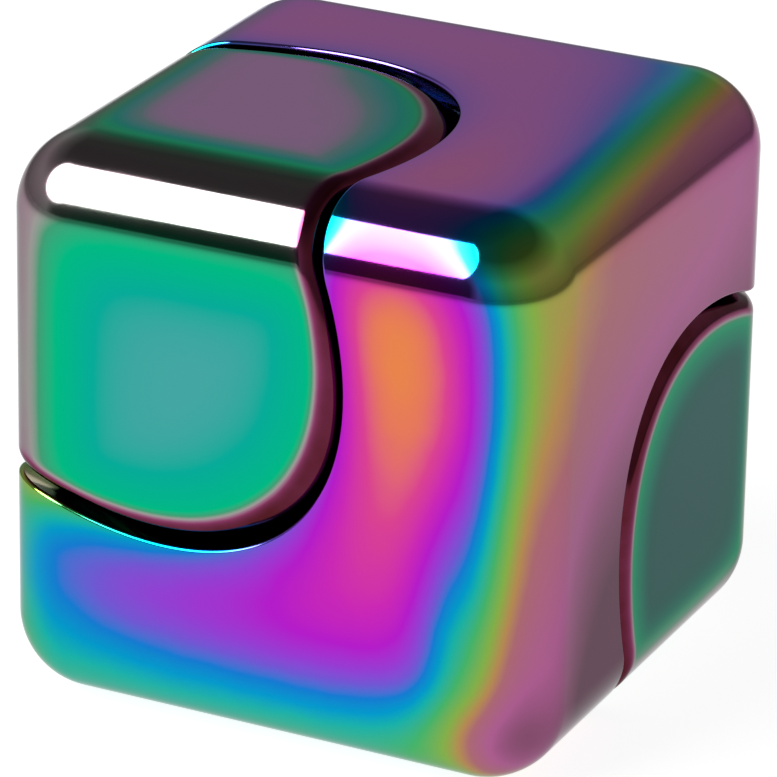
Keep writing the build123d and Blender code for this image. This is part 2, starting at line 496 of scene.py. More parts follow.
class BodyFilm(FilmLayer):
    """The spinner body's film: thin in the middle of its arms, thicker towards every edge."""

    faded_and_painted_shade = {Face.TOP: 0.27}
    fade_and_painted_shade_below = (0.2, 0.42)

    # Low on the upright faces
    low_film, low_height, low_power = 0.47, 18, 1.6
    foot_film, foot = 0.17, Step(4.3, 0.8)

    front_thinner = 0.09
    front_right = Band(0.82, 2.8, 1.3)
    front_left = Band(0.6, 5.2)
    front_left_ends = 0.6
    front_top = Band(0.34, 2.6, 1.6)
    front_seam = Band(0.3, 1.1)
    bulge, bulge_from_right = Band(0.13, 1.6, 2), 3.7
    bulge_starts, bulge_ends = (1, 8), (7, 17)

    top_middle, top_thicker, top_thickens = 0.06, 0.12, (-8, 9)
    top_right, top_right_wider = Band(0.54, 3.6, 1.35), 0.5
    top_far = Band(0.25, 2, 1.5)
    top_front = Band(0.22, 2.7, 2)
    top_seam = Band(0.2, 1)

    right_middle, right_slope, right_low = 0.71, 0.0065, 0.3
    right_front = Band(0.11, 2.5)
    # Painted shade low on the right face, strongest by the cut: its strength, the height where it
    # ends, and its reach from the cut
    right_foot, right_foot_height, right_foot_seam = 0.32, 20, Step(4, 1.2)
    right_corner = Band(1, 3.5), Band(0.22, 3)

    left_middle, left_low = 0.2, 0.4
    left_front, left_back, left_top = Band(0.2, 4), Band(0.3, 3, 1.3), Band(0.2, 3, 1.3)
    left_seam = Band(0.2, 0.8)

    bottom_middle, bottom_right, bottom_seam = 0.47, Band(0.25, 3, 1.3), Band(0.1, 0.8)

    def seam_radius(self) -> float:
        """The body's bore."""
        return spin.reach("upper_corner_cap") + SpinnerBody.running_gap

    def rule(self, face: Face, place: np.ndarray, seam: np.ndarray) -> np.ndarray:
        """The film's thickness on one face.

        Args:
            face: Which face.
            place: Points in millimetres from the cube's centre.
            seam: Each point's millimetres from the cut.

        Returns:
            The thickness, from 0 to 1.
        """
        half = cube.half / MM
        if face is Face.BACK:
            face, place = Face.FRONT, -place
        x, y, z = place.T
        from_front, from_back = half + y, half - y
        from_top, height = half - z, z + half
        low = self.low_film * np.maximum(0, 1 - height / self.low_height) ** self.low_power
        low = low + self.foot_film * self.foot.at(height)
        if face is Face.FRONT:
            left = self.front_left.at(half + x) * np.maximum(0, 1 - low / self.front_left_ends)
            edges = low + self.front_right.at(half - x) + left + self.front_top.at(from_top)
            low_down = rise(height, *self.bulge_starts) * (1 - rise(height, *self.bulge_ends))
            bulge = self.bulge.at(np.abs(half - x - self.bulge_from_right)) * low_down
            return edges + bulge + self.front_seam.at(seam) - self.front_thinner
        if face is Face.TOP:
            back = rise(y, *self.top_thickens)
            right = self.top_right.at(half - x, self.top_right_wider * back)
            edges = self.top_front.at(from_front) + self.top_far.at(from_back)
            film = self.top_middle + self.top_thicker * back + right + self.top_far.at(half + x)
            return film + edges + self.top_seam.at(seam)
        if face is Face.RIGHT:
            # Painted shade: low down, and most by the cut, the film runs into its darkest stops,
            # standing in for the shadowed floor that this face reflects
            foot = self.right_foot * np.maximum(0, 1 - height / self.right_foot_height)
            foot = foot * self.right_foot_seam.at(seam)
            corner = self.right_corner[0].at(from_front) * self.right_corner[1].at(from_top)
            film = self.right_middle - self.right_front.at(from_front)
            return film + self.right_slope * from_front + self.right_low * low + foot - corner
        if face is Face.LEFT:
            edges = self.left_front.at(from_front) + self.left_back.at(from_back)
            edges = edges + self.left_top.at(from_top)
            return self.left_middle + self.left_low * low + edges + self.left_seam.at(seam)
        return self.bottom_middle + self.bottom_right.at(half - x) - self.bottom_seam.at(seam)


@dataclass(frozen=True)
class Border:
    """Where a cap's film changes from a face's middle to its border."""

    middle: float
    edge: Step
    seam: Step
    narrower_sides: float = 0.35


class CapFilm(FilmLayer):
    """A corner cap's film: even in the middle of each face, and thicker round its border."""

    # The sides' fade to a dark grey is partly the film's dull colour and partly painted shade, for
    # the shadowed floor that they reflect
    faded_and_painted_shade = {Face.RIGHT: 0.8, Face.LEFT: 0.8}
    fade_and_painted_shade_below = (0.5, 1.0)
    corner_roundness = 1.0
    blend = 10
    upright = Border(0.36, Step(4.8, 1.1), Step(1.6, 0.6))
    side = Border(0.36, Step(3.6, 0.9), Step(1.5, 0.4))
    level = Border(0.0, Step(4.0, 0.35), Step(1.2, 0.35), narrower_sides=0.8)
    borders = {
        Face.FRONT: upright,
        Face.BACK: upright,
        Face.RIGHT: side,
        Face.LEFT: side,
        Face.TOP: level,
        Face.BOTTOM: level,
    }
    border_film = 0.86
    edge_film, at_edge = 0.92, Step(2.45, 0.22)
    seam_film = 0.74
    level_seam_starts = (-5, 1)
    # Painted shade with a reddish painted reflection: by the cut the film runs to its dark
    # red-brown end, on the rim and down the side in the gap
    painted_rim_shade = Step(0.34, 0.09)

    def seam_radius(self) -> float:
        """The cap's round side."""
        return spin.reach("upper_corner_cap")

    def rule(self, face: Face, place: np.ndarray, seam: np.ndarray) -> np.ndarray:
        """The film's thickness on one face.

        Args:
            face: Which face.
            place: Points in millimetres from the cube's centre.
            seam: Each point's millimetres from the cut.

        Returns:
            The thickness, from 0 to 1.
        """
        border = self.borders[face]
        edges = cube.half / MM - np.abs(place)
        edges[:, 0] += border.narrower_sides
        edges = np.exp(-np.delete(edges, face.axis, axis=1) / self.corner_roundness)
        edge = -self.corner_roundness * np.log(edges.sum(axis=1))
        outer = border.middle + (self.border_film - border.middle) * border.edge.at(edge)
        outer = outer + (self.edge_film - outer) * self.at_edge.at(edge)
        beside = border.seam.at(seam)
        if border is self.level:
            beside = beside * rise(place[:, 0] * face.side, *self.level_seam_starts)
        inner = border.middle + (self.seam_film - border.middle) * beside
        film = (outer**self.blend + inner**self.blend) ** (1 / self.blend)
        # The rim by the cut gets painted shade and a reddish painted reflection
        return film + (1 - film) * self.painted_rim_shade.at(seam)


# ---- Node trees --------------------------------------------------------------------------------
@dataclass(frozen=True, eq=False)
class Number:
    """A number in a node tree, for sums that are written as plain arithmetic."""

    maker: "NodeMaker"
    socket: bpy.types.NodeSocket

    def by(self, operation: str, *others: object) -> "Number":
        """The result of one maths node that takes this number first."""
        return self.maker.maths(operation, self, *others)

    def __add__(self, other: object) -> "Number":
        """The sum."""
        return self.by("ADD", other)

    def __sub__(self, other: object) -> "Number":
        """The difference."""
        return self.by("SUBTRACT", other)

    def __rsub__(self, other: object) -> "Number":
        """The difference from a plain number."""
        return self.maker.maths("SUBTRACT", other, self)

    def __mul__(self, other: object) -> "Number":
        """The product."""
        return self.by("MULTIPLY", other)

    def __truediv__(self, other: object) -> "Number":
        """The quotient."""
        return self.by("DIVIDE", other)

    def __rtruediv__(self, other: object) -> "Number":
        """A plain number shared by this one."""
        return self.maker.maths("DIVIDE", other, self)


class NodeMaker:
    """Adds nodes to one tree."""

    def __init__(self, tree: bpy.types.NodeTree) -> None:
        """Takes a tree and empties it."""
        self.tree = tree
        self.tree.nodes.clear()

    def feed(self, socket: bpy.types.NodeSocket, value: object) -> None:
        """Links a socket to another, or sets its value.

        Args:
            socket: The input to feed.
            value: A number or socket of the tree, a plain value, or None to leave the input alone.
        """
        value = value.socket if isinstance(value, Number) else value
        if isinstance(value, bpy.types.NodeSocket):
            self.tree.links.new(value, socket)
        elif value is not None:
            socket.default_value = value

    def add(self, kind: str, *inputs: object, **settings: object) -> bpy.types.Node:
        """Adds a node.

        Args:
            kind: The node's type, without its ShaderNode prefix.
            *inputs: What feeds each input in turn.
            **settings: Settings of the node itself.

        Returns:
            The node.
        """
        node = self.tree.nodes.new(f"ShaderNode{kind}")
        for name, value in settings.items():
            setattr(node, name, value)
        for socket, value in zip(node.inputs, inputs, strict=False):
            self.feed(socket, value)
        return node

    def maths(self, operation: str, *inputs: object) -> Number:
        """The result of one maths node."""
        return Number(self, self.add("Math", *inputs, operation=operation).outputs[0])

    def vector(self, x: object, y: object, z: object) -> bpy.types.NodeSocket:
        """A vector from its three parts."""
        return self.add("CombineXYZ", x, y, z).outputs[0]

    def parts(self, vector: bpy.types.NodeSocket) -> list[Number]:
        """A vector's three parts."""
        return [Number(self, socket) for socket in self.add("SeparateXYZ", vector).outputs]

    def ramp(self, value: object, stops: Stops) -> bpy.types.NodeSocket:
        """Colours along a 0 to 1 value.

        Args:
            value: Where along the colours each point lies.
            stops: Each colour and its place.

        Returns:
            The colour socket.
        """
        node = self.add("ValToRGB", value)
        elements = node.color_ramp.elements
        while len(elements) < len(stops):
            elements.new(1.0)
        for element, (place, colour) in zip(elements, stops, strict=True):
            element.position = place
            element.color = (*colour, 1.0)
        return node.outputs["Color"]


class Shading(NodeMaker):
    """One material's node tree, with short ways to add to it."""

    noise_range = (0.3, 0.7)

    def __init__(self, name: str) -> None:
        """Starts a material with one Principled shader.

        Args:
            name: The material's name.
        """
        self.material = bpy.data.materials.new(name)
        self.material.use_nodes = True
        super().__init__(self.material.node_tree)
        self.shader = self.add("BsdfPrincipled")
        self.feed(self.add("OutputMaterial").inputs["Surface"], self.shader.outputs["BSDF"])
        self.coordinates = self.add("TexCoord").outputs["Object"]

    def finish(self, **inputs: object) -> None:
        """Feeds the shader's inputs, with _ for a space in a name."""
        for name, value in inputs.items():
            self.feed(self.shader.inputs[name.replace("_", " ")], value)

    def stored(self, name: str) -> Number:
        """A value stored on the mesh."""
        return Number(self, self.add("Attribute", attribute_name=name).outputs["Fac"])

    def noise(self, vector: bpy.types.NodeSocket, scale: float, detail: float) -> Number:
        """A noise pattern.

        Args:
            vector: The coordinates that it lies on.
            scale: Its features in each metre.
            detail: How many finer layers it has.

        Returns:
            The pattern's strength, from 0 to 1.
        """
        node = self.add("TexNoise", vector)
        node.inputs["Scale"].default_value = scale
        node.inputs["Detail"].default_value = detail
        return Number(self, node.outputs["Fac"])

    def spread(self, value: Number, low: float, high: float) -> bpy.types.NodeSocket:
        """A noise pattern spread between two values."""
        return self.add("MapRange", value, *self.noise_range, low, high).outputs[0]

    def bump(self, height: Number, strength: float, depth: float) -> None:
        """Raises the surface by a pattern.

        Args:
            height: The pattern.
            strength: How strongly it shows, from 0 to 1.
            depth: How far it stands up.
        """
        node = self.add("Bump")
        self.feed(node.inputs["Strength"], strength)
        self.feed(node.inputs["Distance"], depth)
        self.feed(node.inputs["Height"], height)
        self.finish(Normal=node.outputs["Normal"])


class NodeRecipe(NodeMaker):
    """A Geometry Nodes tree with named sizes, run once and kept as a plain mesh."""

    def __init__(self, name: str, sizes: dict[str, float | int]) -> None:
        """Starts a tree.

        Args:
            name: The tree's name.
            sizes: Each named input and its value; whole numbers make integer inputs.
        """
        super().__init__(bpy.data.node_groups.new(name, "GeometryNodeTree"))
        self.sizes = sizes
        sockets = self.tree.interface
        sockets.new_socket("Geometry", in_out="INPUT", socket_type="NodeSocketGeometry")
        for label, value in sizes.items():
            kind = "NodeSocketInt" if isinstance(value, int) else "NodeSocketFloat"
            sockets.new_socket(label, in_out="INPUT", socket_type=kind)
        sockets.new_socket("Geometry", in_out="OUTPUT", socket_type="NodeSocketGeometry")
        group = self.tree.nodes.new("NodeGroupInput")
        self.given = {label: Number(self, group.outputs[label]) for label in sizes}
        self.output = self.tree.nodes.new("NodeGroupOutput").inputs[0]

    def shape(self, kind: str, **inputs: object) -> bpy.types.NodeSocket:
        """Adds a geometry node.

        Args:
            kind: The node's type, without its GeometryNode prefix.
            **inputs: What feeds each input, with _ for a space in its name.

        Returns:
            The node's first output.
        """
        node = self.tree.nodes.new(f"GeometryNode{kind}")
        for name, value in inputs.items():
            self.feed(node.inputs[name.replace("_", " ")], value)
        return node.outputs[0]

    def position(self) -> list[Number]:
        """Where each point is: its X, Y and Z."""
        return self.parts(self.shape("InputPosition"))

    def moved(
        self, shape: bpy.types.NodeSocket, x: object, y: object, z: object
    ) -> bpy.types.NodeSocket:
        """A shape with its points moved."""
        return self.shape("SetPosition", Geometry=shape, Position=self.vector(x, y, z))

    def join(self, *shapes: bpy.types.NodeSocket) -> bpy.types.NodeSocket:
        """Several shapes as one."""
        node = self.tree.nodes.new("GeometryNodeJoinGeometry")
        for shape in shapes:
            self.tree.links.new(shape, node.inputs[0])
        return node.outputs[0]

    def run(
        self, shape: bpy.types.NodeSocket, material: bpy.types.Material, placed: Matrix
    ) -> bpy.types.Mesh:
        """Ends the tree, evaluates it and returns what it makes.

        Args:
            shape: The tree's last shape.
            material: The finish that it sets.
            placed: Where the mesh goes.

        Returns:
            A plain mesh in its place.
        """
        realized = self.shape("RealizeInstances", Geometry=shape)
        self.feed(self.output, self.shape("SetMaterial", Geometry=realized, Material=material))
        name = self.tree.name
        holder = bpy.data.objects.new(f"{name}_holder", bpy.data.meshes.new(name))
        bpy.context.scene.collection.objects.link(holder)
        modifier = holder.modifiers.new(name, "NODES")
        modifier.node_group = self.tree
        for item in self.tree.interface.items_tree:
            if item.in_out == "INPUT" and item.name in self.sizes:
                modifier[item.identifier] = self.sizes[item.name]
        graph = bpy.context.evaluated_depsgraph_get()
        made = bpy.data.meshes.new_from_object(holder.evaluated_get(graph))
        holder.modifiers.remove(modifier)
        bpy.data.objects.remove(holder)
        made.transform(placed)
        return made


# ---- Finishes ----------------------------------------------------------------------------------
@dataclass(frozen=True)
class FilmFinish:
    """Rainbow vapour-deposited film over polished metal."""

    name: str
    stops: Stops
    # The colour that the fade mixes towards; the caps' dark grey is partly painted shade
    faded_and_painted_shade: Colour
    haze: tuple[float, float] = (0.055, 0.11)
    grazing: float = 0.7
    cloud_scale: float = 160.0
    cloud_shift: float = 0.03
    speck_scale: float = 900.0
    speck_shift: float = 0.012
    speck_strength: float = 0.05
    speck_depth: float = 0.00002

    def material(self) -> bpy.types.Material:
        """The finish as a node material.

        Returns:
            A material whose colour follows the film's thickness.
        """
        made = Shading(self.name)
        specks = made.noise(made.coordinates, self.speck_scale, detail=6.0)
        clouds = made.noise(made.coordinates, self.cloud_scale, detail=3.0)
        film = made.stored(THICKNESS) + (clouds - 0.5) * self.cloud_shift
        film = film + (specks - 0.5) * self.speck_shift
        # Mixes the film's colour towards the faded colour, which on the caps is partly painted
        # shade
        colour = made.add("Mix", data_type="RGBA")
        made.feed(colour.inputs["Factor"], made.stored(FADE_AND_PAINTED_SHADE))
        made.feed(colour.inputs[6], made.ramp(film, self.stops))
        made.feed(colour.inputs[7], (*self.faded_and_painted_shade, 1.0))
        made.finish(
            Base_Color=colour.outputs[2],
            Metallic=1.0,
            Specular_Tint=(*(self.grazing,) * 3, 1.0),
            Roughness=made.spread(clouds, *self.haze),
        )
        made.bump(specks, self.speck_strength, self.speck_depth)
        return made.material


class SteelMark(Enum):
    """What a steel surface was last worked with."""

    TURNED = "turned"
    GROUND = "ground"
    PRESSED = "pressed"
    LAPPED = "lapped"


@dataclass(frozen=True)
class SteelFinish:
    """Bare or plated steel with the marks of its last working."""

    name: str
    mark: SteelMark
    tone: Colour
    roughness: tuple[float, float]
    pitch: float
    depth: float
    mark_strength: float = 0.4
    tarnish_scale: float = 220.0
    tarnish_share: float = 0.82

    def material(self) -> bpy.types.Material:
        """The finish as a node material.

        Returns:
            A material with its marks round the spin axis, or scattered where it was pressed.
        """
        made = Shading(self.name)
        placed = spin.matrix(1).inverted()
        mapping = made.add("Mapping", made.coordinates)
        mapping.inputs["Location"].default_value = placed.to_translation()
        mapping.inputs["Rotation"].default_value = placed.to_euler()
        local = mapping.outputs[0]
        if self.mark in (SteelMark.TURNED, SteelMark.GROUND):
            x, y, z = made.parts(local)
            rings = made.vector((x * x + y * y).by("SQRT"), 0.0, z)
            marks = made.noise(rings, 1 / self.pitch, detail=4.0)
        else:
            marks = made.noise(local, 1 / self.pitch, detail=5.0)
        tarnish = made.noise(local, self.tarnish_scale, detail=3.0)
        dull = tuple(self.tarnish_share * channel for channel in self.tone)
        made.finish(
            Base_Color=made.ramp(tarnish, ((0.35, dull), (0.65, self.tone))),
            Metallic=1.0,
            Roughness=made.spread(marks, *self.roughness),
        )
        made.bump(marks, self.mark_strength, self.depth)
        return made.material


BODY_FINISH = FilmFinish(
    name="body_rainbow_film",
    stops=charted(
        (0.00, 226, 138, 50),
        (0.05, 219, 112, 90),
        (0.10, 208, 62, 138),
        (0.16, 194, 38, 172),
        (0.22, 172, 26, 192),
        (0.28, 142, 58, 200),
        (0.33, 108, 82, 200),
        (0.38, 20, 116, 198),
        (0.43, 2, 146, 190),
        (0.47, 20, 168, 158),
        (0.54, 64, 170, 99),
        (0.62, 125, 166, 68),
        (0.69, 172, 130, 78),
        (0.74, 162, 99, 108),
        (0.84, 162, 88, 136),
        # From here on the stops darken for the painted shade low on the right face, by the cut
        (0.92, 128, 74, 106),
        (1.00, 94, 56, 76),
    ),
    faded_and_painted_shade=(linear(205), linear(180), linear(173)),
)

CAP_FINISH = FilmFinish(
    name="cap_rainbow_film",
    stops=charted(
        (0.00, 186, 138, 187),
        (0.15, 116, 152, 155),
        (0.36, 72, 157, 157),
        (0.55, 6, 163, 146),
        (0.74, 1, 177, 124),
        (0.84, 62, 150, 112),
        (0.91, 150, 148, 145),
        (0.94, 150, 108, 130),
        # The last two stops, dark mauve to dark red-brown, are painted shade with a reddish painted
        # reflection on the rim by the cut
        (0.97, 128, 54, 92),
        (1.00, 76, 24, 28),
    ),
    # Partly the film's dull colour and partly painted shade of the shadowed floor that the sides
    # reflect
    faded_and_painted_shade=(linear(50), linear(66), linear(64)),
    grazing=0.6,
)

TURNED_STEEL = SteelFinish(
    "turned_plated_steel",
    SteelMark.TURNED,
    tone=(0.6, 0.6, 0.61),
    roughness=(0.16, 0.3),
    pitch=0.00012,
    depth=0.000012,
)
GROUND_STEEL = SteelFinish(
    "ground_bearing_steel",
    SteelMark.GROUND,
    tone=(0.66, 0.66, 0.68),
    roughness=(0.1, 0.2),
    pitch=0.00005,
    depth=0.000004,
)
PRESSED_STEEL = SteelFinish(
    "pressed_sheet_steel",
    SteelMark.PRESSED,
    tone=(0.62, 0.62, 0.63),
    roughness=(0.24, 0.4),
    pitch=0.0003,
    depth=0.00001,
)
BALL_STEEL = SteelFinish(
    "lapped_ball_steel",
    SteelMark.LAPPED,
    tone=(0.8, 0.8, 0.82),
    roughness=(0.03, 0.07),
    pitch=0.0004,
    depth=0.000001,
)


# ---- Placing pieces ----------------------------------------------------------------------------
def settle(
    mesh: bpy.types.Mesh,
    name: str,
    body: str,
    material: bpy.types.Material,
    stands_for: Sequence[str] = (),
) -> None:
    """Makes a finished mesh a piece of the object.

    Args:
        mesh: The mesh, already in its place.
        name: The piece's name.
        body: The CAD body that it rides on.
        material: Its finish.
        stands_for: CAD nodes that it replaces.
    """
    piece = bpy.data.objects.new(name, mesh)
    bpy.context.scene.collection.objects.link(piece)
    mesh.materials.clear()
    mesh.materials.append(material)
    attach(piece, body)
    if stands_for:
        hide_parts(*stands_for)
    log.info("%s: %d faces on %s", name, len(mesh.polygons), body)


def dress(nodes: Sequence[str], material: bpy.types.Material) -> None:
    """Gives CAD nodes a finish in place of their plain one.

    Args:
        nodes: The CAD nodes' names.
        material: Their finish.
    """
    for node in nodes:
        mesh = frame["nodes"][node].data
        mesh.materials.clear()
        mesh.materials.append(material)
        log.info("%s: keeps its shape, finished as %s", node, material.name)


# ---- Spinner body ------------------------------------------------------------------------------
@dataclass
class SpinnerBody:
    """The ring-shaped part of the cube, with the bearing's seat inside."""

    rim_radius: float = 0.15 * MM
    running_gap: float = 0.45 * MM
    seat_margin: float = 0.3 * MM
    seat_chamfer: float = 0.15 * MM
    outer_rows: int = 150
    rim_rows: int = 5
    bore: float = field(init=False)

    def __post_init__(self) -> None:
        """Takes the bore from the caps that run in it."""
        self.bore = spin.reach("upper_corner_cap") + self.running_gap

    def rim(self, skin: RingedSkin, end: float) -> list[tuple[np.ndarray, np.ndarray]]:
        """The rounded edge where the bore meets the cube's faces.

        Args:
            skin: The skin being drawn.
            end: 1 at the upper cap, -1 at the lower one.

        Returns:
            Rings of points and normals, from the outer faces into the bore.
        """
        under = cube.inset(self.rim_radius)
        centres = under.along_axis(spin.centre + (self.bore + self.rim_radius) * skin.spokes, end)
        outer = under.normals(centres)
        return rounded_edge(centres, outer, -skin.spokes, self.rim_radius, self.rim_rows)

    def inside(self, skin: RingedSkin) -> None:
        """Draws the bore, the lip and the bearing's seat, from the lower end to the upper.

        Args:
            skin: The skin being drawn.
        """
        seat = spin.reach("bearing_outer_ring")
        lip = spin.throat("spinner_body")
        half_width = spin.span("bearing_outer_ring")[1]
        lip_end = spin.span("spinner_body", outside=lip + self.seat_chamfer)[0]
        seat_end = half_width + self.seat_margin
        inward, up, down = -skin.spokes, np.broadcast_to(spin.up, skin.spokes.shape), -spin.up
        skin.level_ring(self.bore, lip_end, inward, down)
        skin.level_ring(lip, lip_end, down, inward)
        skin.level_ring(lip, -half_width, inward, up)
        skin.level_ring(seat, -half_width, up, inward)
        bevel = turned(inward, up, 0.5)
        skin.level_ring(seat, seat_end - self.seat_chamfer, inward, bevel)
        skin.level_ring(seat + self.seat_chamfer, seat_end, bevel, up)
        skin.level_ring(self.bore, seat_end, up, inward)

    def build(self, material: bpy.types.Material) -> None:
        """Builds the body's skin and lays its film.

        Args:
            material: Its finish.
        """
        skin = RingedSkin()
        upper, lower = self.rim(skin, 1), self.rim(skin, -1)
        for points, normals in reversed(upper):
            skin.ring(points, normals)
        first, last = (unit(rim[0][0] - spin.centre) for rim in (upper, lower))
        skin.sweep(first, last, self.outer_rows)
        for points, normals in lower:
            skin.ring(points, normals)
        self.inside(skin)
        mesh = skin.mesh("spinner_shell", looped=True)
        BodyFilm().lay(mesh)
        settle(mesh, "spinner_shell", "spinner", material, ["spinner_body"])


# ---- Corner caps -------------------------------------------------------------------------------
@dataclass
class CornerCap:
    """One corner of the cube, hollow from below, with its tapped boss and three ribs."""

    node: str
    end: float
    rim_radius: float = 0.8 * MM
    face_wall: float = 2.2 * MM
    side_wall: float = 1.8 * MM
    tapped_chamfer: float = 0.4 * MM
    rib_width: float = 1.2 * MM
    rib_count: int = 3
    outer_rows: int = 90
    rim_rows: int = 10
    ceiling_rows: int = 24
    radius: float = field(init=False)
    boss_end: float = field(init=False)
    floor: float = field(init=False)
    hole: float = field(init=False)
    hole_end: float = field(init=False)
    boss: float = field(init=False)

    def __post_init__(self) -> None:
        """Measures the CAD cap: its round side, open end, boss and tapped hole."""
        self.radius = spin.reach(self.node)
        self.boss_end = self.nearest()
        self.floor = self.nearest(inside=self.radius - self.side_wall / 2)
        points = spin.node_points(self.node)
        radii, distance = spin.radii(points), np.abs(spin.heights(points))
        self.hole = float(radii[distance < distance.min() + 2 * self.tapped_chamfer].min())
        deep = (cube.distance(points) < -self.rim_radius) & (radii < self.hole + CLOSE)
        self.hole_end = float(distance[deep].max())
        self.boss = float(radii[np.abs(distance - self.boss_end) < CLOSE].max())

    @property
    def label(self) -> str:
        """The cap's name without its kind."""
        return self.node.removesuffix("_corner_cap")

    def nearest(self, inside: float = 0.0) -> float:
        """How near the cap's points, at least inside from the axis, come to the centre along it."""
        low, high = spin.span(self.node, inside)
        return low if self.end > 0 else -high

    def at(self, skin: RingedSkin, radius: float, height: float) -> np.ndarray:
        """Points round the axis at a radius and a height."""
        return spin.centre + radius * skin.spokes + height * (self.end * spin.up)

    def under_surface(self, skin: RingedSkin, radius: float) -> tuple[np.ndarray, np.ndarray]:
        """The hollow's ceiling at a radius.

        Args:
            skin: The skin being drawn.
            radius: Distance from the axis.

        Returns:
            Points on the ceiling and the directions that face out of the metal.
        """
        ceiling = cube.inset(self.face_wall)
        points = ceiling.along_axis(spin.centre + radius * skin.spokes, self.end)
        return points, -ceiling.normals(points)

    def outside(self, skin: RingedSkin) -> None:
        """Draws the cap's corner, its three faces and its rounded rim.

        Args:
            skin: The skin being drawn.
        """
        under = cube.inset(self.rim_radius)
        starts = spin.centre + (self.radius - self.rim_radius) * skin.spokes
        centres = under.along_axis(starts, self.end)
        outer = under.normals(centres)
        edge = unit(centres + self.rim_radius * outer - spin.centre)
        pole = np.broadcast_to(self.end * spin.up, edge.shape)
        skin.ring(cube.along_rays(pole[:1]), pole)
        skin.sweep(pole, edge, self.outer_rows)
        rim = rounded_edge(centres, outer, skin.spokes, self.rim_radius, self.rim_rows)
        for points, normals in rim:
            skin.ring(points, normals)

    def inside(self, skin: RingedSkin) -> None:
        """Draws the cap's round side, its hollow and its tapped boss.

        Args:
            skin: The skin being drawn.
        """
        wall = self.radius - self.side_wall
        outward, inward = skin.spokes, -skin.spokes
        open_side = np.broadcast_to(-self.end * spin.up, inward.shape)
        skin.ring(self.at(skin, self.radius, self.floor), outward, open_side)
        skin.ring(self.at(skin, wall, self.floor), open_side, inward)
        first, facing = self.under_surface(skin, wall)
        skin.ring(first, inward, facing)
        for row in range(1, self.ceiling_rows):
            radius = wall + (self.boss - wall) * row / self.ceiling_rows
            skin.ring(*self.under_surface(skin, radius))
        skin.ring(*self.under_surface(skin, self.boss), outward)
        bevel = turned(inward, open_side, 0.5)
        skin.ring(self.at(skin, self.boss, self.boss_end), outward, open_side)
        skin.ring(self.at(skin, self.hole + self.tapped_chamfer, self.boss_end), open_side, bevel)
        skin.ring(self.at(skin, self.hole, self.boss_end + self.tapped_chamfer), bevel, inward)
        skin.ring(self.at(skin, self.hole, self.hole_end), inward, open_side)
        skin.ring(spin.centre + self.hole_end * self.end * spin.up, open_side)

    def ribs(self, material: bpy.types.Material) -> bpy.types.Mesh:
        """The ribs between the boss and the side, with tops that follow the faces.

        Args:
            material: Their finish.

        Returns:
            A plain mesh in its place.
        """
        recipe = NodeRecipe(
            f"{self.label}_cap_ribs",
            {
                "Count": self.rib_count,
                "Width": self.rib_width,
                "Inner Radius": self.boss - self.side_wall / 4,
                "Outer Radius": self.radius - self.side_wall / 2,
                "Floor": self.floor,
                # Down its middle, a face drops root 2 for each step out from the axis
                "Peak": math.sqrt(3) * (cube.half - self.face_wall / 2),
                "Slope": math.sqrt(2),
            },
        )
        given = recipe.given
        size = recipe.vector(given["Outer Radius"] - given["Inner Radius"], given["Width"], 1.0)
        middle = recipe.vector((given["Outer Radius"] + given["Inner Radius"]) * 0.5, 0.0, 0.5)
        plate = recipe.shape("MeshCube", Size=size, Vertices_X=8, Vertices_Y=2, Vertices_Z=2)
        plate = recipe.shape("Transform", Geometry=plate, Translation=middle)
        x, y, z = recipe.position()
        top = given["Peak"] - given["Slope"] * x
        rib = recipe.moved(plate, x, y, given["Floor"] + z * (top - given["Floor"]))
        # The ring is all but a point, and only gives each rib its angle
        ring = recipe.shape("MeshCircle", Vertices=given["Count"], Radius=1.0)
        ring = recipe.shape("Transform", Geometry=ring, Scale=(0.0001, 0.0001, 0.0001))
        along, aside, _ = recipe.position()
        turn = recipe.vector(0.0, 0.0, aside.by("ARCTAN2", along))
        placed = recipe.shape("InstanceOnPoints", Points=ring, Instance=rib, Rotation=turn)
        half_turn = Matrix.Rotation(math.pi, 4, "Z")
        return recipe.run(placed, material, spin.matrix(self.end) @ half_turn)

    def build(self, material: bpy.types.Material) -> None:
        """Builds the cap's skin and ribs, and lays its film.

        Args:
            material: Its finish.
        """
        skin = RingedSkin()
        self.outside(skin)
        self.inside(skin)
        mesh = skin.mesh(f"{self.label}_cap_shell", looped=False)
        CapFilm().lay(mesh)
        settle(mesh, f"{self.label}_cap_shell", "core", material, [self.node])
        ribs = self.ribs(material)
        CapFilm().lay(ribs)
        settle(ribs, f"{self.label}_cap_ribs", "core", material)


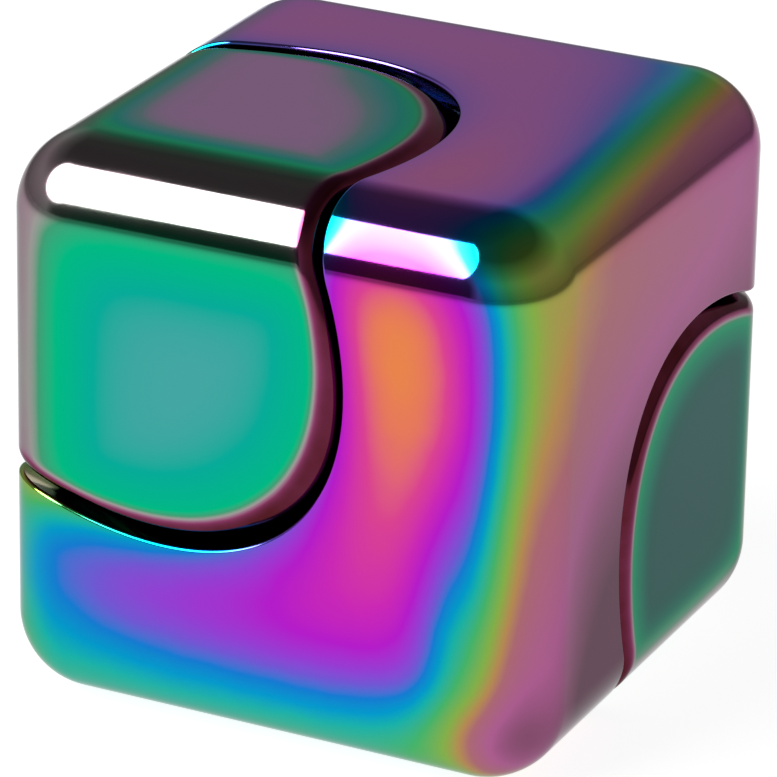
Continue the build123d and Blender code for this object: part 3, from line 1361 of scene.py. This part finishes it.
# ---- Axle and rivets ---------------------------------------------------------------------------
@dataclass
class Axle:
    """The turned axle: a shoulder through the bearing and a threaded stud at each end."""

    thread_pitch: float = 0.8 * MM
    thread_depth: float = 0.3 * MM
    thread_buried: float = 0.05 * MM
    crest_width: float = 0.2 * MM
    flank: float = math.tan(math.radians(30))
    undercut_width: float = 0.6 * MM
    stud_chamfer: float = 0.5 * MM
    steps_per_turn: int = 48
    shoulder_share: float = 0.9

    def __post_init__(self) -> None:
        """Takes the shoulder and the studs from the CAD axle."""
        self.shoulder_radius = spin.reach("axle")
        outermost = self.shoulder_share * self.shoulder_radius
        self.shoulder_end = spin.span("axle", inside=outermost)[1]
        self.stud_end = spin.span("axle")[1]
        self.tip_radius = spin.throat("axle")
        self.root_radius = self.tip_radius + self.stud_chamfer - self.thread_depth

    def core(self) -> bpy.types.Mesh:
        """The shoulder and the studs down to the thread's root.

        Returns:
            A plain mesh in its place.
        """
        tip = self.tip_radius
        half = [
            (tip, self.stud_end),
            (self.root_radius, self.stud_end - (self.root_radius - tip)),
            (self.root_radius, self.shoulder_end),
            (self.shoulder_radius, self.shoulder_end),
        ]
        corners = half + [(radius, -height) for radius, height in reversed(half)]
        skin = RingedSkin()
        facing = np.broadcast_to(spin.up, skin.spokes.shape)
        skin.ring(spin.centre + self.stud_end * spin.up, facing)
        for (radius, height), (next_radius, next_height) in zip(corners, corners[1:], strict=False):
            length = math.hypot(next_radius - radius, next_height - height)
            outwards = (height - next_height) / length * skin.spokes
            following = outwards + (next_radius - radius) / length * spin.up
            skin.level_ring(radius, height, facing, following)
            facing = following
        skin.level_ring(tip, -self.stud_end, facing, -spin.up)
        skin.ring(spin.centre - self.stud_end * spin.up, -spin.up)
        return skin.mesh("axle_core", looped=False)

    def threads(self, material: bpy.types.Material) -> bpy.types.Mesh:
        """A right-hand thread round each stud.

        Args:
            material: Its finish.

        Returns:
            A plain mesh in its place.
        """
        start = self.shoulder_end + self.undercut_width + self.thread_pitch / 2
        end = self.stud_end - self.stud_chamfer - self.thread_pitch / 4
        turns = (end - start) / self.thread_pitch
        recipe = NodeRecipe(
            "axle_threads",
            {
                "Steps": round(turns * self.steps_per_turn),
                "Turns": turns,
                "Pitch": self.thread_pitch,
                "Start": start,
                "Root Radius": self.root_radius,
                "Depth": self.thread_depth,
                "Crest Width": self.crest_width,
                "Buried": self.thread_buried,
                "Flank": self.flank,
            },
        )
        given = recipe.given
        bar = recipe.shape(
            "MeshCylinder", Vertices=4, Side_Segments=given["Steps"], Radius=1.0, Depth=1.0
        )
        x, y, z = recipe.position()
        turn = (z + 0.5) * given["Turns"]
        # The thread fades out over half a turn at each end
        taper = (turn.by("MINIMUM", given["Turns"] - turn) * 2.0).by("MINIMUM", 1.0)
        # The bar's four corners: out or in from the axis, and up or down along it
        outer, upper = x + y, x - y
        deep = given["Buried"] + given["Depth"] * taper
        raised = (outer + 1.0) * 0.5 * deep
        radius = given["Root Radius"] - given["Buried"] + raised
        half_width = given["Crest Width"] * 0.5 + (deep - raised) * given["Flank"]
        height = given["Start"] + turn * given["Pitch"] + upper * half_width
        angle = turn * (2 * math.pi)
        wound = recipe.moved(bar, radius * angle.by("COSINE"), radius * angle.by("SINE"), height)
        other = recipe.shape("Transform", Geometry=wound, Rotation=(math.pi, 0.0, 0.0))
        return recipe.run(recipe.join(wound, other), material, spin.matrix(1))

    def build(self, material: bpy.types.Material) -> None:
        """Builds the core and the threads in one finish."""
        settle(self.core(), "axle_core", "core", material, ["axle"])
        settle(self.threads(material), "axle_threads", "core", material)


@dataclass
class CageRivets:
    """The rivets that join the bearing's two cage halves, midway between the balls."""

    shank_radius: float = 0.3 * MM
    head_height: float = 0.2 * MM
    crown: float = 0.25
    roundness: float = 2.6
    sides: int = 24
    rows: int = 44

    def build(self, material: bpy.types.Material) -> None:
        """Builds one rivet with a button head at each end, repeats it and rides it on the cage.

        Args:
            material: Their finish.
        """
        reach, throat = spin.reach("cage_rivets"), spin.throat("cage_rivets")
        recipe = NodeRecipe(
            "cage_rivets",
            {
                "Count": sum(node.startswith("bearing_ball") for node in frame["nodes"]),
                "Pitch Radius": (reach + throat) / 2,
                "Shank Radius": self.shank_radius,
                "Head Radius": (reach - throat) / 2,
                "Head Height": self.head_height,
                "Half Length": spin.span("cage_rivets")[1],
            },
        )
        given = recipe.given
        bar = recipe.shape(
            "MeshCylinder",
            Vertices=self.sides,
            Side_Segments=self.rows,
            Radius=1.0,
            Depth=given["Half Length"] * 2.0,
        )
        x, y, z = recipe.position()
        head_start = given["Half Length"] - given["Head Height"]
        share = (z.by("ABSOLUTE") - head_start) / given["Head Height"]
        in_head = share.by("GREATER_THAN", -0.01)
        bend = share.by("MAXIMUM", 0.0).by("POWER", self.roundness)
        dome = (1.0 - bend).by("MAXIMUM", 0.0).by("POWER", 1 / self.roundness)
        head = given["Head Radius"] * dome.by("MAXIMUM", self.crown)
        radius = given["Shank Radius"] + in_head * (head - given["Shank Radius"])
        rivet = recipe.moved(bar, x * radius, y * radius, z)
        rivet = recipe.shape("SetShadeSmooth", Geometry=rivet)
        ring = recipe.shape("MeshCircle", Vertices=given["Count"], Radius=given["Pitch Radius"])
        half_step = recipe.vector(0.0, 0.0, math.pi / given["Count"])
        ring = recipe.shape("Transform", Geometry=ring, Rotation=half_step)
        repeated = recipe.shape("InstanceOnPoints", Points=ring, Instance=rivet)
        mesh = recipe.run(repeated, material, spin.matrix(1))
        settle(mesh, "cage_rivet_set", "cage", material, ["cage_rivets"])


# ---- Studio ------------------------------------------------------------------------------------
@dataclass(frozen=True)
class Panel:
    """A soft light panel, by the direction that it stands in from the cube."""

    name: str
    azimuth: float
    elevation: float
    distance: float
    width: float
    height: float
    radiance: float
    for_gloss: bool


@dataclass(frozen=True)
class Flag:
    """A black card that takes light away round one direction."""

    towards: tuple[float, float, float]
    dark_within: float
    soft_to: float
    leaves: float


def direction(azimuth: float, elevation: float) -> Vector:
    """The unit vector towards a place seen from the cube.

    Args:
        azimuth: Degrees from the front (-Y) towards the right (+X).
        elevation: Degrees above the horizon.

    Returns:
        The unit vector.
    """
    around, above = math.radians(azimuth), math.radians(elevation)
    level = math.cos(above)
    return Vector((math.sin(around) * level, -math.cos(around) * level, math.sin(above)))


@dataclass
class Studio:
    """Floor, light and camera."""

    floor_half: float = 1.5
    floor_tone: float = 0.4
    floor_roughness: float = 0.9
    # The floor's painted light: its glow by the cube, the share left far off, and where the glow
    # starts and ends dimming
    glow: float = 0.89
    glow_far: float = 0.15
    glow_radius: float = 0.09
    glow_end: float = 0.3
    camera_azimuth: float = 25.75
    camera_elevation: float = 22.78
    camera_roll: float = 1.04
    camera_distance: float = 9.59
    camera_aim: tuple[float, float] = (0.00429, 0.02307)
    camera_lens: float = 262.03
    camera_clip: tuple[float, float] = (0.01, 10.0)
    panels: tuple[Panel, ...] = (
        Panel("key_softbox", -44.0, 37.0, 0.8, 0.74, 0.68, 11.0, for_gloss=True),
        Panel("floor_softbox", -44.0, 37.0, 0.8, 0.76, 0.70, 4.2, for_gloss=False),
    )
    # The walls' brightness at each height, from the horizon to straight up
    walls: tuple[tuple[float, float], ...] = (
        (0.0, 0.3),
        (0.3, 0.45),
        (0.39, 0.44),
        (0.52, 0.32),
        (0.67, 0.2),
        (0.78, 0.1),
        (1.0, 0.09),
    )
    flags: tuple[Flag, ...] = (
        Flag((-0.44, 0.2, 0.87), 24.0, 40.0, 0.7),
        Flag((-0.45, -0.89, 0.08), 14.0, 26.0, 0.15),
    )

    def floor(self) -> None:
        """A pale floor that glows round the cube: a painted pool of light that dims further out."""
        mesh = bpy.data.meshes.new("floor")
        side = self.floor_half
        corners = [(-side, -side, 0), (side, -side, 0), (side, side, 0), (-side, side, 0)]
        mesh.from_pydata(corners, [], [(0, 1, 2, 3)])
        plane = bpy.data.objects.new("floor", mesh)
        bpy.context.scene.collection.objects.link(plane)
        made = Shading("pale_floor")
        # Painted light: the floor glows, brightest by the cube, in place of a lamp's pool of light,
        # and so washes out the cube's shadow
        distance = made.add("VectorMath", made.coordinates, operation="LENGTH").outputs["Value"]
        glow_far = self.glow * self.glow_far
        glow = made.add("MapRange", distance, self.glow_radius, self.glow_end, self.glow, glow_far)
        glow.interpolation_type = "SMOOTHSTEP"
        made.finish(
            Base_Color=(*(self.floor_tone,) * 3, 1.0),
            Roughness=self.floor_roughness,
            Specular_IOR_Level=0.0,
            Emission_Color=(1.0, 1.0, 1.0, 1.0),
            Emission_Strength=glow.outputs[0],
        )
        mesh.materials.append(made.material)

    def panel(self, given: Panel) -> None:
        """Hangs one soft light panel, turned to the cube.

        Args:
            given: The panel.
        """
        light = bpy.data.lights.new(given.name, "AREA")
        light.shape = "ELLIPSE"
        light.size = given.width
        light.size_y = given.height
        # An ellipse's area times pi turns radiance into power
        light.energy = given.radiance * math.pi * (math.pi / 4 * given.width * given.height)
        holder = bpy.data.objects.new(given.name, light)
        towards = direction(given.azimuth, given.elevation)
        holder.location = Vector(spin.centre.tolist()) + towards * given.distance
        holder.rotation_euler = towards.to_track_quat("Z", "Y").to_euler()
        holder.visible_camera = False
        holder.visible_glossy = given.for_gloss
        holder.visible_diffuse = not given.for_gloss
        bpy.context.scene.collection.objects.link(holder)

    def surround(self) -> None:
        """The studio's walls: a pale backdrop, dimmer overhead, with black flags by the softbox."""
        world = bpy.data.worlds.new("studio_surround")
        bpy.context.scene.world = world
        world.use_nodes = True
        made = NodeMaker(world.node_tree)
        towards = made.add("TexCoord").outputs["Generated"]
        _, _, height = made.parts(towards)
        walls = made.ramp(height, tuple((place, (level,) * 3) for place, level in self.walls))
        light = made.add("RGBToBW", walls).outputs[0]
        for flag in self.flags:
            card = Vector(flag.towards).normalized()
            facing = made.add("VectorMath", towards, card, operation="DOT_PRODUCT").outputs["Value"]
            soft = math.cos(math.radians(flag.soft_to))
            dark = math.cos(math.radians(flag.dark_within))
            shade = made.add("MapRange", facing, soft, dark, 1.0, flag.leaves).outputs[0]
            light = made.maths("MULTIPLY", light, shade)
        background = made.add("Background", (1.0, 1.0, 1.0, 1.0), light)
        made.feed(made.add("OutputWorld").inputs["Surface"], background.outputs[0])

    def camera(self) -> None:
        """Places the camera, with a slight roll."""
        back = direction(self.camera_azimuth, self.camera_elevation)
        level = Vector((0, 0, 1)).cross(back).normalized()
        upright = back.cross(level)
        roll = math.radians(self.camera_roll)
        right = math.cos(roll) * level + math.sin(roll) * upright
        top = math.cos(roll) * upright - math.sin(roll) * level
        aim_x, aim_y = self.camera_aim
        offset = self.camera_distance * back - aim_x * right - aim_y * top
        data = bpy.data.cameras.new("camera")
        data.lens = self.camera_lens
        data.clip_start, data.clip_end = self.camera_clip
        holder = bpy.data.objects.new("camera", data)
        placed = Matrix((right, top, back)).transposed().to_4x4()
        placed.translation = Vector(spin.centre.tolist()) + SIDE * offset
        holder.matrix_world = placed
        bpy.context.scene.collection.objects.link(holder)
        bpy.context.scene.camera = holder

    def build(self) -> None:
        """Sets up everything that isn't the cube."""
        self.floor()
        for given in self.panels:
            self.panel(given)
        self.surround()
        self.camera()
        bpy.context.scene.view_settings.view_transform = "Standard"


def main() -> None:
    """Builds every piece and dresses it."""
    logging.basicConfig(level=logging.INFO, format="%(name)s %(message)s")
    SpinnerBody().build(BODY_FINISH.material())
    cap_film = CAP_FINISH.material()
    CornerCap("upper_corner_cap", 1.0).build(cap_film)
    CornerCap("lower_corner_cap", -1.0).build(cap_film)
    turned_steel, pressed_steel = TURNED_STEEL.material(), PRESSED_STEEL.material()
    Axle().build(turned_steel)
    CageRivets().build(pressed_steel)
    dress(["upper_spacer_washer", "lower_spacer_washer"], turned_steel)
    dress(["bearing_outer_ring", "bearing_inner_ring"], GROUND_STEEL.material())
    dress(["upper_bearing_shield", "lower_bearing_shield"], pressed_steel)
    dress(["upper_cage_half", "lower_cage_half"], pressed_steel)
    dress([node for node in sorted(frame["nodes"]) if "ball" in node], BALL_STEEL.material())
    Studio().build()


if __name__ == "__main__":
    main()
